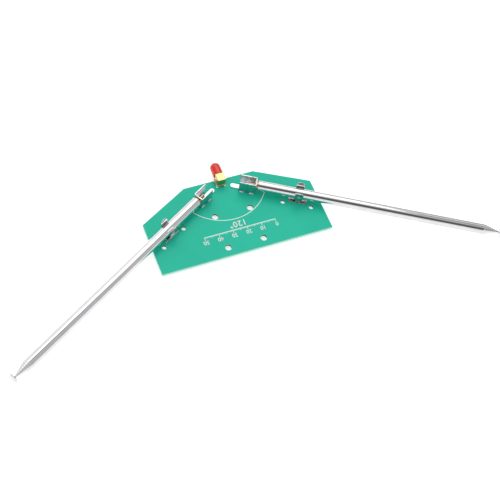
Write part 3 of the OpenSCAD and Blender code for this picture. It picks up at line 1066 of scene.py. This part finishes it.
solder = {
    "gap": 0.05 * mm,                                  # the pads' thickness
    "bracket": {"foot": 1.35 * mm, "neck": 0.72 * mm},
    "clip": {"foot": 1.35 * mm, "neck": 0.7 * mm},
    "jack": {"foot": 1.0 * mm, "neck": 0.5 * mm},
    "jackTop": {"foot": 1.05 * mm, "neck": 0.6 * mm, "height": 0.5 * mm},
    "bead": (1.75 * mm, 0.55 * mm, 0.75 * mm),         # half its length, its reach outwards and its height
}


def fillet(name, place, foot, neck, height, wider=1.0, turn=0.0, up=False):
    points = [(0, 0), (0, foot)]
    for step in range(1, 7):
        share = step / 6
        points.append((height * share ** 1.5, neck + (foot - neck) * (1 - share) ** 2.2))
    points.append((height, 0))
    piece = turned(name, points, 28)
    rise = -math.pi / 2 if up else math.pi / 2
    piece.matrix_world = placed(place, turn) @ Matrix.Diagonal((wider, 1, 1, 1)) @ Matrix.Rotation(rise, 4, "Y")
    settle(piece)
    cleanShell(piece)
    return piece


def bead(place, turn):                                 # runs along the foot of a bracket's wall
    clearAll()
    bpy.ops.mesh.primitive_uv_sphere_add(segments=32, ring_count=16, radius=1 * mm)
    piece = named("bead")
    size = [length / mm for length in solder["bead"]]
    piece.matrix_world = placed(place, turn) @ Matrix.Diagonal((*size, 1))
    settle(piece)
    editAll()
    bpy.ops.mesh.bisect(plane_co=place, plane_no=(0, 0, -1), use_fill=True, clear_outer=True)
    objectMode()
    return cleanShell(piece)


def makeSolder():
    under = -solder["gap"]
    tall = -floorHeight - solder["gap"] - 0.15 * mm
    top = solder["jackTop"]
    parts = []
    low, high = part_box("jack_body")
    middleY = low.y + (high.x - low.x) / 2

    def cone(kind, spot, *rest):                       # under the board, round one leg
        shape = solder[kind]
        place = spot + Vector((0, 0, under))
        parts.append(fillet("joint", place, shape["foot"], shape["neck"], tall, *rest))

    for side in sides:
        turn = -sides[side] * rodTilt
        for at in bracket["legs"]:
            for sign in (-1, 1):
                aside = sign * (bracket["width"] - bracket["sheet"]) / 2
                spot = rodPoint(side, bracket["start"] + at, aside)
                cone("bracket", spot, 1.1, turn)
                outer = rodPoint(side, bracket["start"] + at, sign * (bracket["width"] / 2 + 0.02 * mm))
                parts.append(bead(outer + Vector((0, 0, boardTop)), turn))
        for sign in (-1, 1):
            spot = rodPoint(side, clip["at"] + sign * clip["legs"]["at"], 0)
            cone("clip", spot, 1.1, turn)
    for x in (-1, 1):
        for y in (-1, 1):
            spot = Vector((x * jack["legSpan"] / 2, middleY + y * jack["legSpan"] / 2, 0))
            cone("jack", spot)
            place = spot + Vector((0, 0, boardTop))
            parts.append(fillet("joint", place, top["foot"], top["neck"], top["height"], up=True))
    cone("jack", Vector((0, middleY, 0)))
    piece = joined("solderJoints", parts)
    polish(piece, 0, smooth=60)
    dress(piece, "board", "solder", solderShine)
    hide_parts("solder_joints")


makeSolder()
print("solder made")


kept = {"solder_pads": padTin, "jack_insulator": cream, "jack_contact": gold}
for side in sides:
    for i in rod["sections"]:
        kept[f"{side}_bush_{i}"] = bronze
for name, material in kept.items():
    mesh = frame["nodes"][name].data
    mesh.materials.clear()
    mesh.materials.append(material)
print("kept pieces dressed")


studio = {
    "floorSize": 6.0,
    "floorColor": (0.8, 0.8, 0.8),
    "floorGlow": 0.52,
    "key": {"from": (0.15, 0.37, 0.8), "size": 0.62, "power": 1.7},
    "sky": 1.05,
    # parts of the room that reflect as darker: where they lie, how bright they are,
    # and how many degrees from the middle each one starts and is full
    "dim": [
        {"toward": (-0.85, 0.35, 0.35), "level": 0.45, "reach": (42, 20)},
        {"toward": (0.85, 0.5, 0.22), "level": 0.45, "reach": (34, 16)},
        {"toward": (0.75, -0.42, 0.5), "level": 0.6, "reach": (42, 22)},
        {"toward": (0.38, 0.12, 0.9), "level": 0.42, "reach": (22, 12)},
        {"toward": (0.02, -0.46, 0.89), "level": 0.22, "reach": (21, 10)},
        {"toward": (-0.25, -0.63, 0.73), "level": 0.12, "reach": (26, 12)},
    ],
}


def makeFloor():
    clearAll()
    bpy.ops.mesh.primitive_plane_add(size=studio["floorSize"], location=(0, 0, floorHeight - 0.02 * mm))
    floor = settle(named("floor"))
    material = finish("floorPaper", studio["floorColor"], 0.0, 0.8)
    plain = grainPlace(material)
    mottle = noise(material, plain, 60, 2)
    pale = studio["floorColor"]
    shade = tuple(c * 0.985 for c in pale)
    plug(material, tint(material, spread(material, mottle, 0, 1), pale, shade), "Base Color")
    shader = material.node_tree.nodes["Principled BSDF"]
    shader.inputs["Emission Color"].default_value = (1, 1, 1, 1)
    shader.inputs["Emission Strength"].default_value = studio["floorGlow"]
    floor.data.materials.append(material)


def areaLight(name, settings, target):
    bpy.ops.object.light_add(type="AREA", location=settings["from"])
    lamp = bpy.context.object
    lamp.name = name
    lamp.data.size = settings["size"]
    lamp.data.energy = settings["power"]
    lamp.rotation_euler = (target - Vector(settings["from"])).to_track_quat("-Z", "Y").to_euler()


def makeSky():
    world = bpy.data.worlds.new("studio")
    bpy.context.scene.world = world
    world.use_nodes = True
    tree = world.node_tree
    tree.nodes.clear()

    def add(kind, settings=None, **inputs):
        made = tree.nodes.new("ShaderNode" + kind)
        for key, value in (settings or {}).items():
            setattr(made, key, value)
        for key, value in inputs.items():
            numbered = key[0] == "i" and key[1:].isdigit()
            socket = made.inputs[int(key[1:]) if numbered else key.replace("_", " ")]
            if isinstance(value, bpy.types.NodeSocket):
                tree.links.new(value, socket)
            else:
                socket.default_value = value
        return made

    looking = add("TexCoord").outputs["Generated"]

    def patch(level, toward, reach, base):             # fades base to level round a direction
        there = Vector(toward).normalized()
        dot = add("VectorMath", {"operation": "DOT_PRODUCT"}, i0=looking, i1=tuple(there)).outputs["Value"]
        starts, full = [math.cos(math.radians(angle)) for angle in reach]
        share = add("MapRange", {"interpolation_type": "SMOOTHSTEP"}, Value=dot,
                    From_Min=starts, From_Max=full, To_Min=0.0, To_Max=1.0).outputs["Result"]
        return add("MapRange", Value=share, From_Min=0.0, From_Max=1.0,
                   To_Min=base, To_Max=level).outputs["Result"]

    level = studio["sky"]
    for dim in studio["dim"]:
        level = patch(dim["level"], dim["toward"], dim["reach"], level)
    room = add("Background", Color=(1, 1, 1, 1), Strength=level)
    white = add("Background", Color=(1, 1, 1, 1), Strength=1.0)
    seen = add("LightPath").outputs["Is Camera Ray"]
    both = add("MixShader")
    tree.links.new(seen, both.inputs[0])
    tree.links.new(room.outputs[0], both.inputs[1])
    tree.links.new(white.outputs[0], both.inputs[2])
    out = add("OutputWorld")
    tree.links.new(both.outputs[0], out.inputs["Surface"])


camera = {
    "lens": 72.711,
    "around": -33.946,
    "above": 58.883,
    "roll": 14.191,
    "away": 655.795 * mm,
    "aim": (0.216 * mm, 0.158 * mm),                   # from the middle of the board's front edge
}


def makeCamera():
    around, above, roll = [math.radians(camera[k]) for k in ("around", "above", "roll")]
    back = Vector((math.sin(around) * math.cos(above), -math.cos(around) * math.cos(above), math.sin(above)))
    across = (-back).cross(Vector((0, 0, 1))).normalized()
    upward = across.cross(-back)
    x = across * math.cos(roll) + upward * math.sin(roll)
    y = upward * math.cos(roll) - across * math.sin(roll)
    aim = Vector((camera["aim"][0], boardLow.y + camera["aim"][1], boardTop))
    clearAll()
    bpy.ops.object.camera_add()
    eye = bpy.context.object
    eye.name = "eye"
    eye.data.lens = camera["lens"]
    eye.data.sensor_width = 36
    eye.data.clip_start = 0.01
    facing = Matrix((x, y, back)).transposed().to_4x4()
    eye.matrix_world = Matrix.Translation(aim + back * camera["away"]) @ facing
    bpy.context.scene.camera = eye


makeFloor()
clearAll()
boardMiddle = Vector((0, (boardLow.y + boardHigh.y) / 2, boardTop))
areaLight("key", studio["key"], boardMiddle)
makeSky()
makeCamera()
bpy.context.scene.view_settings.view_transform = "Standard"
bpy.context.scene.view_settings.look = "None"
print("studio ready")
